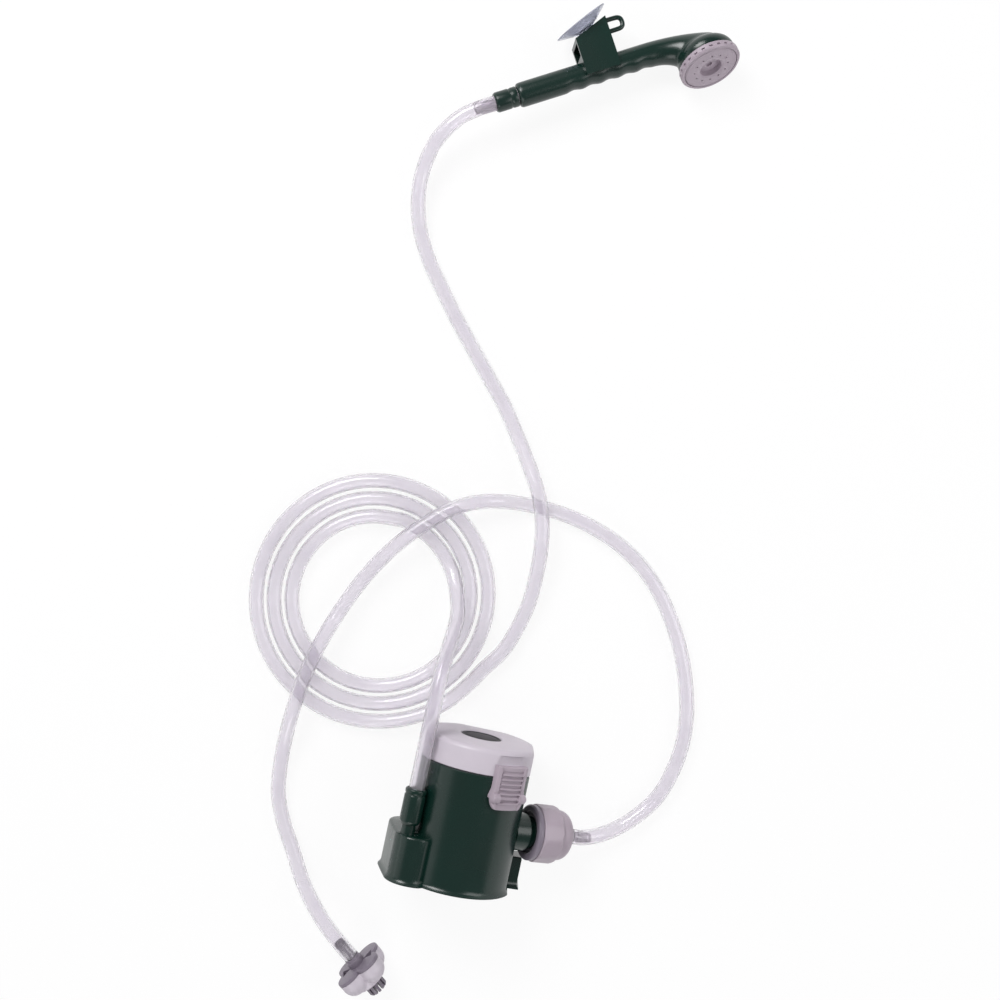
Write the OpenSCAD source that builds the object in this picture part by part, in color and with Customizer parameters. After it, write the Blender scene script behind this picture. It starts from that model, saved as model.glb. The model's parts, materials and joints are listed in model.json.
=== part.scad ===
// Battery-driven camp shower pump laid out on a table: pump, hoses, strainer and handset.
// +Y runs along the pump from base to lid, +Z is up, and the pump lies on its back at the origin.

/* [Pump body] */
// Outside diameter of the barrel
barrel_d = 96; // [94:1:110]
// Wall of the moulded body
wall = 2.6; // [2:0.1:3.5]
// Height of the body from its foot to the lid seam
body_h = 100; // [96:1:112]
// Distance from the barrel axis to the flat right side
side_flat = 45.5; // [44.6:0.1:47]
// Height of the barrel axis above the table
axis_z = 44; // [40:1:46]
// Height of the pump lobe on the left
lobe_h = 39; // [34:1:44]
// Radius of the lobe's corners
lobe_r = 17; // [16:0.5:18.5]
// How far the foot lip stands out
lip = 2; // [1:0.2:3]
// Height of the foot lip
lip_h = 3; // [2:0.5:5]

/* [Lid and clip] */
// Height of the lid
lid_h = 22; // [19:0.5:28]
// Radius of the lid's top edge
lid_round = 6; // [3:0.5:8]
// Diameter of the switch cover in the lid
switch_d = 34; // [26:1:40]
// Travel of the switch
switch_travel = 2.5; // [1:0.1:2.7]
// Width of the clip
clip_w = 30; // [24:1:34]
// Length of the clip
clip_l = 36; // [32:1:40]
// Thickness of the clip
clip_t = 4; // [3.6:0.2:5]
// Number of grip ribs on the clip
clip_ribs = 7; // [4:1:9]

/* [Drive] */
// Diameter of a D cell
cell_d = 33.2; // [32:0.1:33.6]
// Length of a D cell
cell_l = 61.5; // [58:0.5:62]
// Diameter of the motor
motor_d = 27.6; // [24:0.2:32]
// Length of the motor
motor_l = 22; // [16:0.5:23]
// Diameter of the motor shaft
shaft_d = 3; // [2:0.1:4]
// Diameter of the impeller
impeller_d = 30; // [24:0.5:34]
// Number of impeller blades
impeller_blades = 6; // [4:1:8]

/* [Hose and couplings] */
// Outside diameter of the hose
hose_d = 12.7; // [10:0.1:13]
// Bore of the hose
hose_bore = 9.5; // [7:0.1:9.8]
// Diameter of the outlet nut
outlet_nut_d = 17.4; // [16:0.1:18]
// Length of the outlet nut
outlet_nut_l = 29; // [24:0.5:32]
// Diameter of the inlet nut
inlet_nut_d = 48; // [42:0.5:50]
// Length of the inlet nut
inlet_nut_l = 32; // [26:0.5:34]
// Diameter of the inlet neck
inlet_neck_d = 26; // [20:0.5:30]
// Downward lean of the inlet
inlet_lean = 24; // [15:1:26]
// Diameter of the strainer flange
strainer_d = 50; // [44:0.5:54]
// Number of slots in the strainer's end
strainer_slots = 5; // [3:1:6]

/* [Handset] */
// Diameter of the handle
handle_d = 21; // [19:0.5:23]
// Distance from the hose nut's end to the middle of the spray face
handset_l = 183; // [170:1:195]
// Diameter of the spray ring
spray_d = 53; // [48:0.5:56]
// Roll of the spray face up from the table
face_roll = 20; // [0:1:25]
// Diameter of the suction cup
cup_d = 49; // [44:0.5:52]
// Width of the holder along the handle
holder_w = 30; // [26:0.5:34]
// Depth of the holder
holder_depth = 28; // [25.5:0.5:32]

/* [Clearances] */
// Running clearance of a pin or shaft, on the radius
run_gap = 0.06; // [0.02:0.01:0.1]
// Gap between pieces that move past each other
gap = 0.4; // [0.3:0.05:0.6]

/* [Hidden] */
$fn = 64;

foot_y = -61;
seam_y = foot_y + body_h;
top_y = seam_y + lid_h;
barrel_r = barrel_d / 2;

// A point at a distance and an angle from the barrel axis, seen along the pump
function from_axis(r, a) = [r * cos(a), axis_z + r * sin(a)];

// The lobe's front and rear corners, seen along the pump
lobe_front = from_axis(barrel_r, 140);
lobe_rear = from_axis(barrel_r - 4, 178.7);

// The short foot on the right, below the inlet
side_foot_x = 55;
side_foot_z = [12, 36];
side_foot_h = 24;

green = [0.07, 0.15, 0.13];
dark_green = [0.05, 0.11, 0.1];
pale = [0.78, 0.74, 0.79];
grey = [0.6, 0.56, 0.61];
steel = [0.7, 0.7, 0.72];
rubber = [0.12, 0.11, 0.12];
vinyl = [0.86, 0.82, 0.88];

// Places of the couplings
outlet_at = from_axis(barrel_r + outlet_nut_d / 2 + gap, 139.6);
outlet_pipe_l = 8;
inlet_h = 50;
inlet_out = 8.5;
inlet_drop = 4;
inlet_at = [side_flat + inlet_out, foot_y + inlet_h, axis_z - inlet_drop];

// Heights inside the body, from the foot upwards
base_t = 3;
volute_r = 21;
volute_y = foot_y + base_t + 0.3;
volute_h = 14;
motor_y = volute_y + volute_h + 0.3;
deck_h = 42;
deck_y = foot_y + deck_h;
deck_t = 2.5;
cell_y = deck_y + deck_t + 1.5;
post_r = 4.6;
post_l = 12;
post_sink = 0.2;
post_ring = barrel_r - wall - post_r + post_sink;
lobe_post = lobe_rear - [lobe_r - wall - post_r + post_sink, 0];
screw_posts = concat([for (a = [60, -60, -125]) from_axis(post_ring, a)], [lobe_post]);
screw_r = 1.24;
screw_l = 11;
boss_l = 16;
boss_end = 3;

// Moving along the pump and round its axis
module along_y(y, h) translate([0, y, 0]) rotate([90, 0, 0]) mirror([0, 0, 1]) linear_extrude(h) children();
module at_axis(y) translate([0, y, axis_z]) rotate([-90, 0, 0]) children();
module at_inlet() translate(inlet_at) rotate([0, 90 + inlet_lean, 0]) children();
module ring(r_out, r_in, h) difference() {
  cylinder(r = r_out, h = h);
  translate([0, 0, -1]) cylinder(r = r_in, h = h + 2);
}

// Outlines of the pump seen along its axis, where depth is a distance inwards
module barrel_2d(depth) intersection() {
  translate([0, axis_z]) circle(barrel_r - depth);
  translate([-barrel_d, max(depth, 0)]) square([barrel_d + side_flat - depth, 2 * barrel_d]);
}
module lobe_2d(depth) {
  run = lobe_front - lobe_rear;
  side = [-run.y, run.x] / norm(run) * (lobe_r - depth);
  for (p = [lobe_front, lobe_rear]) translate(p) circle(lobe_r - depth);
  polygon([lobe_front + side, lobe_rear + side, lobe_rear - [0, lobe_r - depth], [0, axis_z], lobe_front]);
}
module side_foot_2d(depth) translate([0, side_foot_z[0] + max(depth, 0)]) difference() {
  square([side_foot_x - depth, side_foot_z[1] - side_foot_z[0] - 2 * depth]);
  square([barrel_r / 2, side_foot_z[1]]);
}
module floor_2d() translate([-barrel_d, 0]) square(2 * barrel_d);
module foot_2d(grow) intersection() {
  floor_2d();
  union() {
    barrel_2d(-grow);
    lobe_2d(-grow);
    side_foot_2d(-grow);
  }
}

module pump_body() color(green) difference() {
  union() {
    along_y(foot_y, body_h - 1) barrel_2d(0);
    along_y(foot_y, lobe_h) lobe_2d(0);
    along_y(foot_y, side_foot_h) side_foot_2d(0);
    along_y(foot_y, lip_h) foot_2d(lip);
    at_inlet() translate([0, 0, -boss_l]) cylinder(r = inlet_neck_d / 2 + wall, h = boss_l - boss_end);
    clip_lugs();
  }
  difference() {
    union() {
      along_y(foot_y - 1, body_h + 2) barrel_2d(wall);
      along_y(foot_y - 1, lobe_h + 1 - wall) lobe_2d(wall);
    }
    for (p = screw_posts) along_y(foot_y + base_t, post_l) translate(p) circle(post_r);
  }
  for (p = screw_posts) along_y(foot_y + base_t - 1, post_l) translate(p) circle(screw_r + run_gap);
  at_inlet() translate([0, 0, -5]) cylinder(r = inlet_neck_d / 2 + run_gap, h = 20);
  translate([pipe_x, inlet_at.y, axis_z]) rotate([0, 90, 0]) cylinder(r = pipe_r + run_gap, h = 12);
  along_y(foot_y + lobe_h - wall - 1, wall + 2) translate(outlet_at) circle(5.8 + run_gap);
  at_clip() translate([-clip_w, 0, clip_pin_r]) rotate([0, 90, 0])
    cylinder(d = clip_pin_d, h = 2 * clip_w);
}

module base_plate() color(dark_green) difference() {
  union() {
    along_y(foot_y, base_t) barrel_2d(wall + 0.2);
    along_y(foot_y, base_t) lobe_2d(wall + 0.2);
  }
  for (p = screw_posts) {
    along_y(foot_y - 1, base_t + 2) translate(p) circle(screw_r + 0.3);
    along_y(foot_y - 1, 2.2) translate(p) circle(2.8);
  }
}

module base_screws() color(steel) for (p = screw_posts) {
  along_y(foot_y + 0.2, 1) translate(p) circle(2.5);
  along_y(foot_y + 1.1, screw_l) translate(p) circle(screw_r);
}

module volute() color(grey) difference() {
  union() {
    at_axis(volute_y) cylinder(r = volute_r, h = volute_h);
    volute_duct(5, 0);
  }
  at_axis(volute_y + 1.5) cylinder(r = volute_r - 2, h = volute_h - 4);
  translate([0, pipe_low, axis_z]) rotate([0, 90, 0]) cylinder(r = pipe_bore, h = volute_r + 1);
  at_axis(volute_y + 4) cylinder(r = seal_r + run_gap, h = volute_h);
  volute_duct(3, 1);
}
// Arm from the volute to the outlet, which then rises to the pipe
module volute_duct(r, open) {
  to = [outlet_at.x, outlet_at.y - axis_z];
  translate([0, volute_y + 6, axis_z]) rotate([0, 90 - atan2(to.y, to.x), 0])
    translate([0, 0, volute_r - 4]) cylinder(r = r, h = norm(to) - volute_r + 4);
  translate([outlet_at.x, volute_y + 6 - (1 - open) * r, outlet_at.y]) rotate([-90, 0, 0])
    cylinder(r = r - 0.4, h = lobe_h - wall - 9.6 + open * 5 - (1 - open) * 0.4 + (1 - open) * r);
}
// Pipe inside the body, from the inlet neck down beside the cells to the volute
pipe_r = 4;
pipe_x = side_flat - wall - pipe_r - 1.9;
pipe_bore = 2.6;
pipe_low = volute_y + 6;
module suction_run(r, over) {
  translate([pipe_x - over, inlet_at.y, axis_z]) rotate([0, 90, 0]) cylinder(r = r, h = 9.5 + 2 * over);
  translate([pipe_x, pipe_low - r, axis_z]) rotate([-90, 0, 0])
    cylinder(r = r, h = inlet_at.y - pipe_low + 2 * r);
  translate([volute_r + 0.1 - over, pipe_low, axis_z]) rotate([0, 90, 0])
    cylinder(r = r, h = pipe_x - volute_r + over);
}
module suction_pipe() color(grey) difference() {
  suction_run(pipe_r, 0);
  suction_run(pipe_bore, 2);
}
seal_r = 4.2;
module shaft_seal() color(rubber) at_axis(volute_y + volute_h - 2.4) ring(seal_r, shaft_d / 2 + run_gap, 2.3);

module impeller() color(pale) at_axis(volute_y + 2.2) {
  ring(impeller_d / 2, shaft_d / 2 - 0.02, 1.4);
  ring(3.6, shaft_d / 2 - 0.02, 5);
  for (i = [0 : impeller_blades - 1]) rotate(i * 360 / impeller_blades)
    translate([3.2, -0.6, 0]) cube([impeller_d / 2 - 3.6, 1.2, 6]);
}

module motor_shaft() color(steel) at_axis(volute_y + 2.2)
  cylinder(d = shaft_d, h = motor_y - volute_y + motor_l);
module motor_can() color(steel) difference() {
  at_axis(motor_y) cylinder(d = motor_d, h = motor_l);
  at_axis(motor_y - 1) cylinder(d = shaft_d + 2 * run_gap, h = motor_l + 2);
}
// Saddle ring that holds the motor down on the volute
module motor_clamp() color(dark_green) difference() {
  at_axis(motor_y) union() {
    cylinder(d = motor_d + 5, h = 6);
    for (a = [0, 90, 180, 270]) rotate(a) translate([0, -4, 0]) cube([volute_r, 8, 3]);
  }
  at_axis(motor_y - 1) cylinder(d = motor_d + 2 * run_gap, h = 9);
}

module bulkhead() color(dark_green) difference() {
  along_y(deck_y, deck_t) barrel_2d(wall + 0.2);
  for (s = [-1, 1]) along_y(deck_y - 1, deck_t + 2) translate([s * 6, axis_z]) circle(1.5);
  along_y(deck_y - 1, deck_t + 2) translate([pipe_x, axis_z]) circle(pipe_r + 0.3);
}

// The four cells stand two by two
cell_step = cell_d / 2 + 0.3;
contact_t = 0.5;
contact_w = 14;
module each_cell() for (x = [-1, 1], z = [-1, 1]) translate([x * cell_step, 0, z * cell_step]) children();
module battery_cells() color([0.2, 0.2, 0.24]) each_cell() at_axis(cell_y) {
  cylinder(d = cell_d, h = cell_l - 1.5);
  cylinder(d = 9.5, h = cell_l);
}
module contact_springs() color(steel) each_cell() at_axis(deck_y + deck_t + contact_t)
  ring(6, 4.6, cell_y - deck_y - deck_t - contact_t);
// A pair of strips, each bridging two cells
module contact_pair(y) for (x = [-1, 1])
  along_y(y, contact_t) translate([x * cell_step - contact_w / 2, axis_z - cell_step - contact_w / 2])
    square([contact_w, 2 * cell_step + contact_w]);
module lower_contacts() color(steel) contact_pair(deck_y + deck_t);

// The lid carries the switch over the upper contacts
contacts_y = cell_y + cell_l + gap;
lid_ceiling = top_y - 7.5;
well_d = 5;
stem_r = 3;
clip_angle = 36;
clip_pivot_y = seam_y - 16;
clip_tail = 10;
clip_pin_d = 2.4;
clip_pin_r = barrel_r + 3.4;
knuckle_r = 3;
knuckle_w = 20;
lug_w = 4;
module at_clip() translate([0, clip_pivot_y, axis_z]) rotate([0, clip_angle, 0]) children();

module lid() color(pale) difference() {
  union() {
    intersection() {
      at_axis(seam_y) rotate_extrude() {
        square([barrel_r, lid_h - lid_round]);
        square([barrel_r - lid_round, lid_h]);
        translate([barrel_r - lid_round, lid_h - lid_round]) circle(lid_round);
      }
      along_y(seam_y, lid_h) barrel_2d(0);
    }
    along_y(seam_y - 6, 7) difference() {
      barrel_2d(wall + gap);
      barrel_2d(wall + gap + 1.8);
    }
  }
  along_y(seam_y - 1, lid_ceiling - seam_y + 1) barrel_2d(wall + gap + 1.8);
  at_axis(top_y - well_d) cylinder(d = switch_d + 2 * gap, h = well_d + 1);
  at_axis(lid_ceiling - 1) cylinder(r = stem_r + run_gap, h = 5);
  at_clip() translate([-clip_w / 2, clip_l - clip_tail, barrel_r - 1.2]) cube([clip_w, 7, 10]);
}
module lid_gasket() color(rubber) along_y(seam_y - 0.95, 0.95) difference() {
  barrel_2d(0.5);
  barrel_2d(wall + gap - 0.1);
}
module upper_contacts() color(steel) contact_pair(contacts_y);
module switch_body() color(rubber) difference() {
  at_axis(contacts_y + contact_t) cylinder(r = 12, h = lid_ceiling - contacts_y - contact_t);
  at_axis(contacts_y + contact_t + 1) cylinder(r = stem_r + run_gap, h = 20);
}
module switch_boot() color(rubber) {
  at_axis(top_y - well_d + switch_travel + 0.3) cylinder(d = switch_d, h = well_d - switch_travel - 0.3);
  at_axis(contacts_y + contact_t + 1.2 + switch_travel)
    cylinder(r = stem_r, h = top_y - 1 - contacts_y - contact_t - 1.2 - switch_travel);
}

// Lugs on the body that hold the clip's pin
module clip_lugs() at_clip() for (s = [-1, 1])
  translate([s * (knuckle_w / 2 + gap + lug_w / 2) - lug_w / 2, 0, 0]) {
    translate([0, 0, clip_pin_r]) rotate([0, 90, 0]) cylinder(r = knuckle_r, h = lug_w);
    translate([0, -knuckle_r, barrel_r - 3.4]) cube([lug_w, 2 * knuckle_r, clip_pin_r - barrel_r + 3.4]);
  }
module clip_pin() color(steel) at_clip()
  translate([-knuckle_w / 2 - gap - lug_w, 0, clip_pin_r]) rotate([0, 90, 0])
    cylinder(d = clip_pin_d - 2 * run_gap, h = knuckle_w + 2 * gap + 2 * lug_w);
// Part of a tube round the barrel axis, from y along the clip
module clip_band(r_in, r_out, w, y, l) intersection() {
  translate([0, y, 0]) rotate([-90, 0, 0]) ring(r_out, r_in, l);
  translate([-w / 2, y - 1, 0]) cube([w, l + 2, 2 * barrel_r]);
}
module clip() color(pale) at_clip() difference() {
  r_in = barrel_r + gap;
  r_out = r_in + clip_t;
  union() {
    clip_band(r_in, r_out, clip_w, 0, clip_l - clip_tail);
    clip_band(r_in + 2.4, r_out, clip_w, -clip_tail, clip_tail + 1);
    translate([-knuckle_w / 2, 0, clip_pin_r]) rotate([0, 90, 0]) cylinder(r = knuckle_r, h = knuckle_w);
    for (i = [0 : clip_ribs - 1])
      clip_band(r_out - 1, r_out + 0.8, clip_w - 8, 3 - clip_tail + i * (clip_l - 5) / clip_ribs, 1.6);
  }
  translate([-clip_w, 0, clip_pin_r]) rotate([0, 90, 0]) cylinder(d = clip_pin_d, h = 2 * clip_w);
  for (s = [0, 1]) mirror([s, 0, 0]) translate([knuckle_w / 2, -knuckle_r - 1.2, 0])
    cube([clip_w, 2 * knuckle_r + 2.4, 2 * barrel_r]);
}

// Outlet: a pipe on the lobe with a barb, and a nut round the hose
outlet_y = foot_y + lobe_h;
hose_r = hose_d / 2;
barb_r = hose_bore / 2;
outlet_hose_y = outlet_y + outlet_pipe_l + 1;
module at_outlet(y) translate([outlet_at.x, y, outlet_at.y]) rotate([-90, 0, 0]) children();
module outlet_spigot() color(green) difference() {
  union() {
    at_outlet(outlet_y - wall) cylinder(r = 5.8, h = outlet_hose_y - outlet_y + wall);
    at_outlet(outlet_hose_y - 1) cylinder(r = barb_r, h = outlet_nut_l - 6);
  }
  at_outlet(outlet_y - wall - 1) cylinder(r = barb_r - 1.6, h = outlet_nut_l + 20);
}
module outlet_nut() color(green) difference() {
  at_outlet(outlet_y + outlet_pipe_l) {
    translate([0, 0, 3]) cylinder(d = outlet_nut_d, h = outlet_nut_l - 3);
    cylinder(d1 = outlet_nut_d - 2.4, d2 = outlet_nut_d, h = 3);
  }
  at_outlet(outlet_y + outlet_pipe_l - 1) cylinder(r = hose_r + gap, h = outlet_nut_l + 2);
}

// Inlet: neck, collar, washer, nut and hose barb on one leaning axis
neck_l = 10;
collar_l = 5;
nut_from = collar_l + 0.3;
nut_end = nut_from + inlet_nut_l;
nut_step = 3.5;
tail_r = hose_r - 0.1;
stub_l = 5;
barb_l = 18;
module inlet_neck() color(dark_green) at_inlet() translate([0, 0, -5])
  ring(inlet_neck_d / 2, inlet_neck_d / 2 - 3, neck_l + 5);
module inlet_collar() color(grey) at_inlet() difference() {
  ring(inlet_nut_d / 2 - 1, inlet_neck_d / 2 + run_gap, collar_l);
  translate([0, 0, -1]) cylinder(r = inlet_neck_d / 2 + 4, h = 3.5);
}
module inlet_washer() color(rubber) at_inlet() translate([0, 0, neck_l + 0.1])
  ring(inlet_neck_d / 2 - 0.3, 5, 1.8);
module inlet_nut() color(pale) at_inlet() difference() {
  union() {
    translate([0, 0, nut_from]) cylinder(d = inlet_nut_d, h = inlet_nut_l * 0.6);
    translate([0, 0, nut_from]) cylinder(r = inlet_nut_d / 2 - nut_step, h = inlet_nut_l - 6);
    translate([0, 0, nut_end - 6 - 0.01])
      cylinder(r1 = inlet_nut_d / 2 - nut_step, r2 = inlet_nut_d / 2 - nut_step - 5, h = 6);
  }
  translate([0, 0, nut_from - 1]) cylinder(r = inlet_neck_d / 2 + run_gap, h = neck_l + 2);
  translate([0, 0, nut_from - 1]) cylinder(r = tail_r + run_gap, h = inlet_nut_l + 2);
}
module inlet_barb() color(grey) at_inlet() difference() {
  union() {
    translate([0, 0, neck_l + 2]) cylinder(r = inlet_neck_d / 2 - 0.3, h = 3);
    translate([0, 0, neck_l + 2]) cylinder(r = tail_r, h = nut_end + stub_l - neck_l - 2);
    translate([0, 0, nut_end]) cylinder(r = barb_r, h = stub_l + barb_l);
  }
  cylinder(r = barb_r - 1.6, h = nut_end + stub_l + barb_l + 1);
}

// Hose routes, points chosen along the middle of the hose, resting on the table at lay_z
lay_z = 6.4;
inlet_dir = [cos(inlet_lean), 0, -sin(inlet_lean)];
inlet_hose = inlet_at + (nut_end + stub_l) * inlet_dir;
strainer_at = [-63, -154, 25.1];
strainer_turn = -39.5;
strainer_pitch = 8;
function heading(turn, pitch) = [cos(pitch) * cos(turn), cos(pitch) * sin(turn), -sin(pitch)];
strainer_dir = heading(strainer_turn, strainer_pitch);
hub_l = 8;
strainer_hose = strainer_at - hub_l * strainer_dir;
handset_at = [-100, 585, 30];
handset_turn = 30.4;
handset_pitch = 3.6;
handset_dir = heading(handset_turn, handset_pitch);

// The coil: loops that spiral outwards at a steady rate
coil_c = [-113, 153.2];
coil_r = 69;
coil_pitch = 15.4;
coil_turns = 8 / 3;
coil_rings = 24;
function unit(v) = v / norm(v);
function coil_point(t) = let (a = 90 + 360 * t, r = coil_r + coil_pitch * t)
  [coil_c.x + r * cos(a), coil_c.y + r * sin(a), lay_z];
coil_step = 1 / coil_rings / 50;
coil_in_dir = unit(coil_point(coil_step) - coil_point(0));
coil_out_dir = unit(coil_point(coil_turns) - coil_point(coil_turns - coil_step));
coil_in = coil_point(0) - hose_d * coil_in_dir;
coil_out = coil_point(coil_turns) + hose_d * coil_out_dir;
coil_loops = [for (i = [0 : coil_rings * coil_turns]) coil_point(i / coil_rings)];
coil_route = concat([coil_in], coil_loops, [coil_out]);

supply_route = concat([[outlet_at.x, outlet_hose_y, outlet_at.y]], [
  [-43.5, 15, 81], [-43.5, 50, 81], [-43.5, 80, 81], [-43.5, 103, 77], [-42.5, 123, 66], [-41, 140, 50],
  [-41, 156, 34], [-45.5, 171, 20], [-53, 187, 10.5], [-64, 201, 6.8], [-78, 212.3, 6.4]
], [coil_in]);
riser_route = concat([coil_out], [
  [3.5, 130, 6.4], [12, 153, 6.4], [17, 176, 9], [18, 200, 14], [17, 224, 19], [13, 247, 21], [5, 269, 20.2],
  [-7, 290, 15], [-22, 313, 9.5], [-38, 336, 6.8], [-56, 357, 6.4], [-75, 379, 6.4], [-94, 401, 6.4],
  [-112, 424, 6.4], [-129, 447, 6.6], [-142, 471, 8], [-149, 497, 11.5], [-149, 523, 17], [-142, 547, 23.5],
  [-127, 567, 29]
], [handset_at - hose_d * handset_dir, handset_at]);
suction_route = concat([inlet_hose, inlet_hose + hose_d * inlet_dir], [
  [118, -7, 12.2], [133, 2, 8.6], [147, 15, 6.8], [160, 33, 6.4], [168, 55, 6.4], [172, 80, 6.4],
  [171, 106, 6.4], [165, 132, 6.4], [156, 157, 6.4], [143, 182, 6.4], [127, 205, 6.4], [107, 225, 6.4],
  [84, 240, 6.4], [59, 250, 6.4], [33, 256, 6.4], [7, 258, 6.6], [-18, 257, 10], [-42, 252, 17],
  [-63, 242, 20.2], [-82, 226, 20.2], [-99, 208, 20.2], [-114, 188, 16.5], [-127, 166, 14], [-138, 142, 15],
  [-147, 118, 18.5], [-154, 94, 20.2], [-159, 69, 20.2], [-162, 45, 19], [-164, 20, 12.5], [-164, -5, 8],
  [-161, -30, 6.6], [-152, -53, 6.6], [-138, -76, 9], [-125, -97, 13.5], [-111, -114, 18.5], [-95, -129, 24]
], [strainer_hose - hose_d * strainer_dir, strainer_hose]);

// A round tube through the points p, whose end faces are square to the directions from and to
function aim(p, i, from, to) = i == 0 ? from : i == len(p) - 1 ? to : unit(p[i + 1] - p[i - 1]);
function tube_ring(c, dir, r, n) = let (side = unit(cross(dir, [0, 0, 1])), top = cross(side, dir))
  [for (k = [0 : n - 1]) c + r * (cos(360 * k / n) * side + sin(360 * k / n) * top)];
module tube(p, from, to, r, n) polyhedron(
  [for (i = [0 : len(p) - 1]) each tube_ring(p[i], aim(p, i, from, to), r, n)],
  concat(
    [for (k = [1 : n - 2]) [0, k + 1, k]],
    [for (i = [0 : len(p) - 2], k = [0 : n - 1]) each let (a = i * n + k, b = i * n + (k + 1) % n)
      [[a, b, b + n], [a, b + n, a + n]]],
    [for (k = [1 : n - 2]) let (o = (len(p) - 1) * n) [o, o + k, o + k + 1]]));

// Least gap between loops of the coil that lie a good part of a turn apart
coil_gap = min([for (i = [0 : len(coil_route) - 1], j = [i + coil_rings / 2 : len(coil_route) - 1])
  norm(coil_route[i] - coil_route[j])]) - hose_d;
echo(coil_gap = coil_gap);

module supply_hose() color(vinyl) tube(supply_route, [0, 1, 0], coil_in_dir, hose_r, 10);
module hose_coil() color(vinyl) tube(coil_route, coil_in_dir, coil_out_dir, hose_r, 6);
module riser_hose() color(vinyl) tube(riser_route, coil_out_dir, handset_dir, hose_r, 10);
module suction_hose() color(vinyl) tube(suction_route, inlet_dir, strainer_dir, hose_r, 10);

// Strainer, along its axis from the hose to its slotted end
flange_t = 3;
lobe_out = 9.5;
strainer_lobe_r = 10.5;
grid_r = 8.5;
grid_from = 20;
grid_l = 10;
module at_strainer() translate(strainer_at) rotate([0, 90 + strainer_pitch, strainer_turn]) children();
module strainer_barb() color(grey) at_strainer() difference() {
  union() {
    cylinder(d = strainer_d, h = flange_t);
    translate([0, 0, -hub_l]) cylinder(r = hose_r + 1, h = hub_l + 1);
    translate([0, 0, -hub_l - barb_l]) cylinder(r = barb_r, h = barb_l + 1);
  }
  translate([0, 0, -hub_l - barb_l - 1]) cylinder(r = barb_r - 1.6, h = 100);
  for (s = [-1, 1]) translate([0, 0, -1]) linear_extrude(2.5)
    polygon([[4, s * (hose_r + 2)], [-4, s * (hose_r + 2)], [0, s * (strainer_d / 2 - 6)]]);
}
module strainer_body() color(pale) at_strainer() difference() {
  translate([0, 0, flange_t + 0.05]) {
    cylinder(r = grid_r + 3.5, h = grid_from - flange_t);
    for (a = [45 : 90 : 315]) rotate(a) translate([lobe_out, 0, 0]) {
      cylinder(r = strainer_lobe_r, h = 5);
      intersection() {
        translate([0, 0, 5]) sphere(r = strainer_lobe_r);
        translate([-strainer_d, -strainer_d, 0]) cube(2 * strainer_d);
      }
    }
  }
  cylinder(r = grid_r - 2.5, h = 60);
  translate([0, 0, grid_from - 4]) cylinder(r = grid_r + run_gap, h = 20);
}
module strainer_grid() color(grey) at_strainer() difference() {
  translate([0, 0, grid_from - 4]) cylinder(r = grid_r, h = grid_l + 4);
  translate([0, 0, grid_from - 5]) cylinder(r = grid_r - 2.5, h = grid_l + 3);
  for (i = [0 : strainer_slots - 1]) rotate(i * 180 / strainer_slots)
    translate([-grid_r - 1, -0.8, grid_from + 2]) cube([2 * grid_r + 2, 1.6, grid_l]);
}

// Handset, along its handle from the hose nut to the spray head
handle_r = handle_d / 2;
hand_nut_l = 20;
hand_nut_r = 8.5;
handle_from = hand_nut_l + 0.3;
neck_from = handset_l - 43;
neck_bend_r = 30;
neck_bend = 55;
neck_swell = 0.4;
grip_pitch = 16;
grip_count = 5;
grip_from = 68;
grip_r = 9;
grip_depth = 1.3;
dome_r = spray_d / 2 - 1.2;
dome_z = 20.3;
head_rim = 24;
spigot_r = 21;
face_z = 31.4;
module at_handset() translate(handset_at) rotate([0, handset_pitch, handset_turn]) children();
module at_head(z) at_handset() translate([handset_l, 0, 0]) rotate([90 - face_roll, 0, 0])
  translate([0, 0, z]) children();
module along_handle(u) at_handset() translate([u, 0, 0]) rotate([0, 90, 0]) children();

module handset_nut() color(green) along_handle(0) difference() {
  union() {
    cylinder(r1 = hand_nut_r - 0.8, r2 = hand_nut_r, h = 2);
    translate([0, 0, 2]) cylinder(r = hand_nut_r, h = hand_nut_l - 2);
  }
  translate([0, 0, -1]) cylinder(r = tail_r + run_gap, h = hand_nut_l + 2);
}
module handset_barb() color(grey) along_handle(0) difference() {
  union() {
    cylinder(r = tail_r, h = handle_from + 8);
    translate([0, 0, -barb_l]) cylinder(r = barb_r, h = barb_l + 1);
  }
  translate([0, 0, -barb_l - 1]) cylinder(r = barb_r - 1.6, h = 100);
}
// Straight handle and goose neck as one round bar
module handle_bar(r, from) {
  along_handle(from) cylinder(r = r, h = neck_from - from + 1);
  at_handset() translate([neck_from, -neck_bend_r, 0]) rotate(90 - neck_bend)
    rotate_extrude(angle = neck_bend) translate([neck_bend_r, 0]) circle(r + neck_swell);
}
module dome(r, rim) intersection() {
  translate([0, 0, dome_z]) sphere(r = r);
  translate([-50, -50, -50]) cube([100, 100, 50 + rim]);
}
module handle() color(green) difference() {
  union() {
    handle_bar(handle_r, handle_from);
    at_head(0) dome(dome_r, head_rim);
    at_head(head_rim - 2) cylinder(r = spigot_r, h = 7);
  }
  handle_bar(handle_r - 4.5, handle_from + 7);
  along_handle(handle_from - 1) cylinder(r = tail_r + run_gap, h = 9);
  at_head(0) dome(dome_r - 3, head_rim - 3);
  at_head(head_rim - 5) cylinder(r = spigot_r - 2.4, h = 20);
  for (i = [0 : grip_count - 1])
    at_handset() translate([grip_from + i * grip_pitch, -handle_r - grip_r + grip_depth, -50])
      cylinder(r = grip_r, h = 100);
}
module head_seal() color(rubber) at_head(face_z - 2.3) translate([0, 0, -0.05]) mirror([0, 0, 1])
  ring(spigot_r - 2.5, spigot_r - 4.5, 3);
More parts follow.
